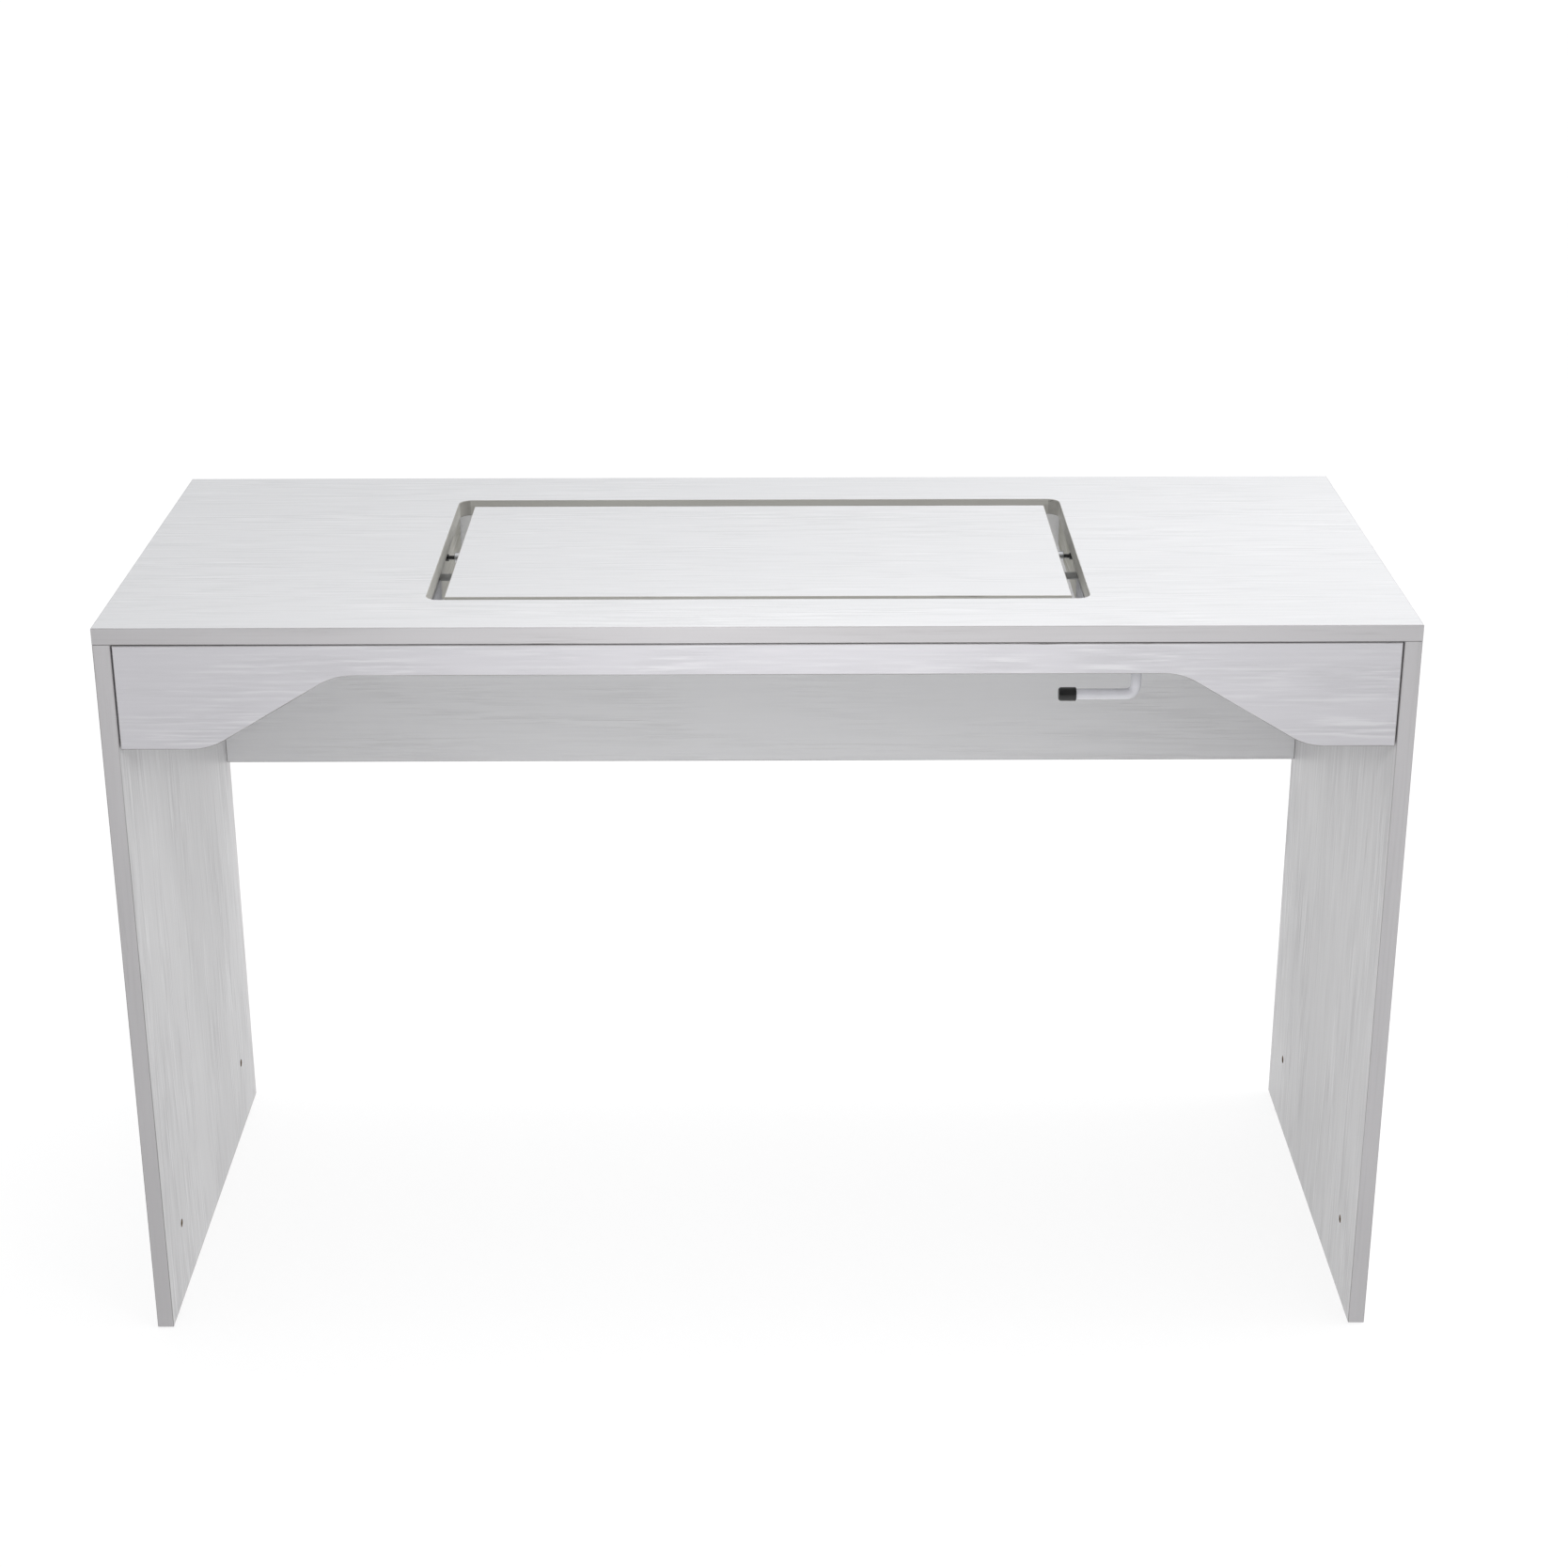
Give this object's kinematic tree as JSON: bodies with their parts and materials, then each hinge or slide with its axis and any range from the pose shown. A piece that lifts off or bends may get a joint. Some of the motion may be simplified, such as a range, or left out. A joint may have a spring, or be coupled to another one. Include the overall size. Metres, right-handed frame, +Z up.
{
  "type": "sewing table",
  "caption": "White sewing table with panel legs, a back panel, an arched front apron and a cutout whose platform lowers level on swing arms, freed by a hand lever under the top.",
  "frame": {"origin": "centre of the table's outline, on the floor under the glides", "axes": "+X to the sitter's right along the table's length, +Y from the front edge to the back panel, +Z up"},
  "size_m": [1.2, 0.49, 0.735],
  "materials": {
    "white_melamine": "white melamine-faced board with a fine embossed wood grain, satin",
    "plain_steel": "plain rolled steel, satin",
    "zinc_steel": "bright zinc plating, slightly cloudy",
    "white_enamel": "glossy white paint on steel rod",
    "black_rubber": "moulded black rubber, satin",
    "grey_plastic": "moulded grey nylon, matt"
  },
  "bodies": {
    "carcass": {"table_top": "white_melamine", "side_panel_left": "white_melamine", "side_panel_right": "white_melamine", "back_panel": "white_melamine", "front_apron": "white_melamine", "lift_rail_left": "white_melamine", "lift_rail_right": "white_melamine", "glide_front_left": "black_rubber", "glide_front_right": "black_rubber", "glide_rear_left": "black_rubber", "glide_rear_right": "black_rubber", "side_cam_front_left": "zinc_steel", "side_cam_front_right": "zinc_steel", "side_cam_rear_left": "zinc_steel", "side_cam_rear_right": "zinc_steel", "back_cam_low_left": "zinc_steel", "back_cam_low_right": "zinc_steel", "back_cam_high_left": "zinc_steel", "back_cam_high_right": "zinc_steel", "apron_cam_left": "zinc_steel", "apron_cam_right": "zinc_steel", "apron_bracket_left": "zinc_steel", "apron_bracket_right": "zinc_steel", "rail_bracket_front_left": "zinc_steel", "rail_bracket_front_right": "zinc_steel", "rail_bracket_rear_left": "zinc_steel", "rail_bracket_rear_right": "zinc_steel", "side_plate_left": "plain_steel", "side_plate_right": "plain_steel", "up_stop_left": "grey_plastic", "up_stop_right": "grey_plastic", "pivot_bolt_front_left": "zinc_steel", "pivot_bolt_rear_left": "zinc_steel", "pivot_bolt_rear_right": "zinc_steel", "pivot_nut_front_left": "zinc_steel", "pivot_nut_rear_left": "zinc_steel", "pivot_nut_rear_right": "zinc_steel", "lever_bearing_front": "grey_plastic", "lever_bearing_rear": "grey_plastic"},
    "front_arms": {"front_arm_left": "plain_steel", "front_arm_right": "plain_steel", "front_cross_shaft": "plain_steel", "front_shaft_bolt_left": "zinc_steel", "front_shaft_bolt_right": "zinc_steel", "brake_sector": "plain_steel", "brake_shaft": "plain_steel", "brake_shaft_nut": "zinc_steel"},
    "rear_arms": {"rear_arm_left": "plain_steel", "rear_arm_right": "plain_steel", "rear_cross_shaft": "plain_steel", "rear_shaft_bolt_left": "zinc_steel", "rear_shaft_bolt_right": "zinc_steel"},
    "platform": {"lift_platform": "white_melamine", "platform_bracket_left": "zinc_steel", "platform_bracket_right": "zinc_steel"},
    "lever": {"release_lever": "white_enamel", "lever_cap": "black_rubber", "brake_shoe": "grey_plastic", "lever_spring": "plain_steel"}
  },
  "joints": [
    {"name": "front_arm_swing", "type": "hinge", "parent": "carcass", "child": "front_arms", "pos_m": [0, -0.133, 0.66608], "axis": [1, 0, 0], "range_deg": [-60.3, 0]},
    {"name": "rear_arm_swing", "type": "hinge", "parent": "carcass", "child": "rear_arms", "pos_m": [0, -0.007, 0.66608], "axis": [1, 0, 0], "range_deg": [-60.3, 0]},
    {"name": "platform_level", "type": "hinge", "parent": "front_arms", "child": "platform", "pos_m": [0, -0.05596, 0.702], "axis": [1, 0, 0], "range_deg": [0, 60.3]},
    {"name": "lever_turn", "type": "hinge", "parent": "carcass", "child": "lever", "pos_m": [0.348, -0.15, 0.7], "axis": [0, 1, 0], "range_deg": [0, 18], "stiffness_Nm_per_rad": 0.4, "springref_deg": -28.65}
  ],
  "couplings": [
    {"joint": "rear_arm_swing", "follows": "front_arm_swing", "ratio": 1},
    {"joint": "platform_level", "follows": "front_arm_swing", "ratio": -1}
  ]
}
